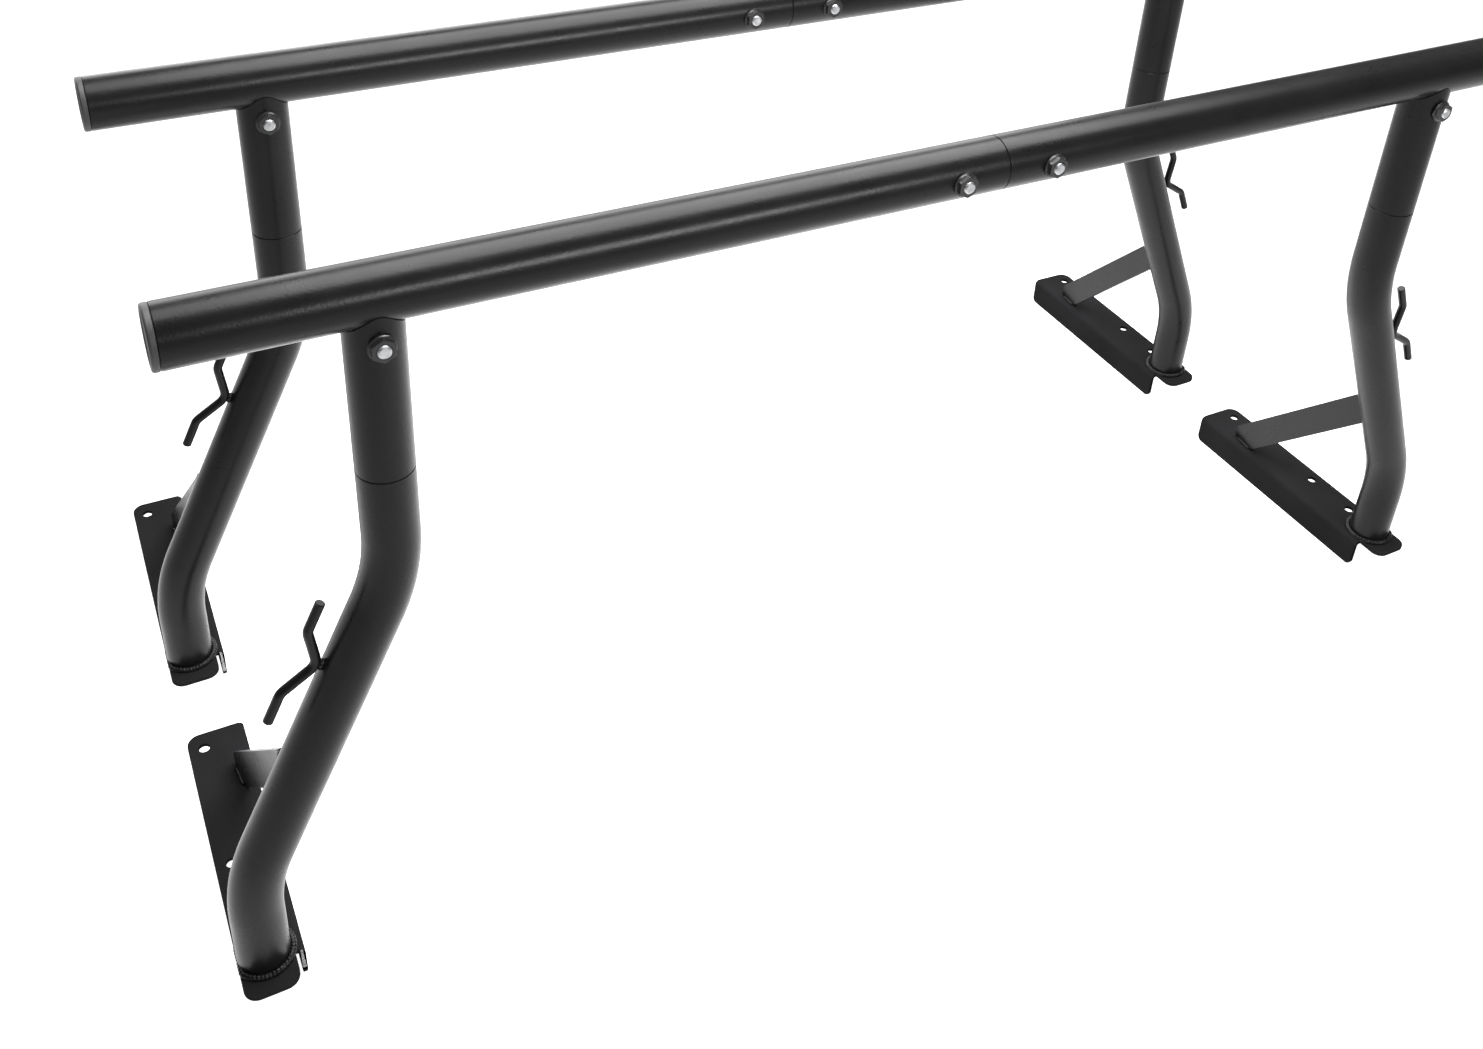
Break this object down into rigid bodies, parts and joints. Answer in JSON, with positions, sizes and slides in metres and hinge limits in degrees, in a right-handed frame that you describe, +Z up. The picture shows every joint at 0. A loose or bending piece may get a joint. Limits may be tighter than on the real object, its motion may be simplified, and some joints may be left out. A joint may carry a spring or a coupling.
{
  "type": "ladder rack",
  "caption": "Steel ladder rack for pickup bed rails: separate hoops, each a round crossbar on bent legs with braced folded base brackets and rope hooks, to carry long loads.",
  "frame": {"origin": "on the ground plane under the middle of the rack, level with the bottom edges of the base flanges", "axes": "+X along the crossbars, +Y along the bed rails from the front hoop to the rear hoop, +Z up"},
  "size_m": [1.543, 0.765, 0.7855],
  "materials": {
    "powder_coat": "satin black powder coat",
    "black_nut": "satin black",
    "cap_plastic": "fine-grained black plastic",
    "zinc": "bright zinc plate",
    "bare_steel": "oiled bare steel"
  },
  "bodies": {
    "front_left": {"front_left_crossbar": "powder_coat", "front_left_end_cap": "cap_plastic", "front_left_leg_stub": "powder_coat", "front_left_upper_leg": "powder_coat", "front_left_leg_coupler": "bare_steel", "front_left_lower_leg": "powder_coat", "front_left_base_bracket": "powder_coat", "front_left_brace": "powder_coat", "front_left_rope_hook": "powder_coat", "front_left_leg_bolt": "zinc", "front_left_leg_nut": "black_nut", "front_left_sleeve_bolt": "zinc", "front_left_sleeve_nut": "black_nut", "front_crossbar_sleeve": "bare_steel"},
    "front_right": {"front_right_crossbar": "powder_coat", "front_right_end_cap": "cap_plastic", "front_right_leg_stub": "powder_coat", "front_right_upper_leg": "powder_coat", "front_right_leg_coupler": "bare_steel", "front_right_lower_leg": "powder_coat", "front_right_base_bracket": "powder_coat", "front_right_brace": "powder_coat", "front_right_rope_hook": "powder_coat", "front_right_leg_bolt": "zinc", "front_right_leg_nut": "black_nut", "front_right_sleeve_bolt": "zinc", "front_right_sleeve_nut": "black_nut"},
    "rear_left": {"rear_left_crossbar": "powder_coat", "rear_left_end_cap": "cap_plastic", "rear_left_leg_stub": "powder_coat", "rear_left_upper_leg": "powder_coat", "rear_left_leg_coupler": "bare_steel", "rear_left_lower_leg": "powder_coat", "rear_left_base_bracket": "powder_coat", "rear_left_brace": "powder_coat", "rear_left_rope_hook": "powder_coat", "rear_left_leg_bolt": "zinc", "rear_left_leg_nut": "black_nut", "rear_left_sleeve_bolt": "zinc", "rear_left_sleeve_nut": "black_nut", "rear_crossbar_sleeve": "bare_steel"},
    "rear_right": {"rear_right_crossbar": "powder_coat", "rear_right_end_cap": "cap_plastic", "rear_right_leg_stub": "powder_coat", "rear_right_upper_leg": "powder_coat", "rear_right_leg_coupler": "bare_steel", "rear_right_lower_leg": "powder_coat", "rear_right_base_bracket": "powder_coat", "rear_right_brace": "powder_coat", "rear_right_rope_hook": "powder_coat", "rear_right_leg_bolt": "zinc", "rear_right_leg_nut": "black_nut", "rear_right_sleeve_bolt": "zinc", "rear_right_sleeve_nut": "black_nut"}
  },
  "joints": [
    {"name": "front_width", "type": "slide", "parent": "front_left", "child": "front_right", "axis": [1, 0, 0], "range_m": [0, 0.2]},
    {"name": "hoop_spacing", "type": "slide", "parent": "front_left", "child": "rear_left", "axis": [0, 1, 0], "range_m": [-0.07, 0.6]},
    {"name": "rear_width", "type": "slide", "parent": "rear_left", "child": "rear_right", "axis": [1, 0, 0], "range_m": [0, 0.2]}
  ]
}
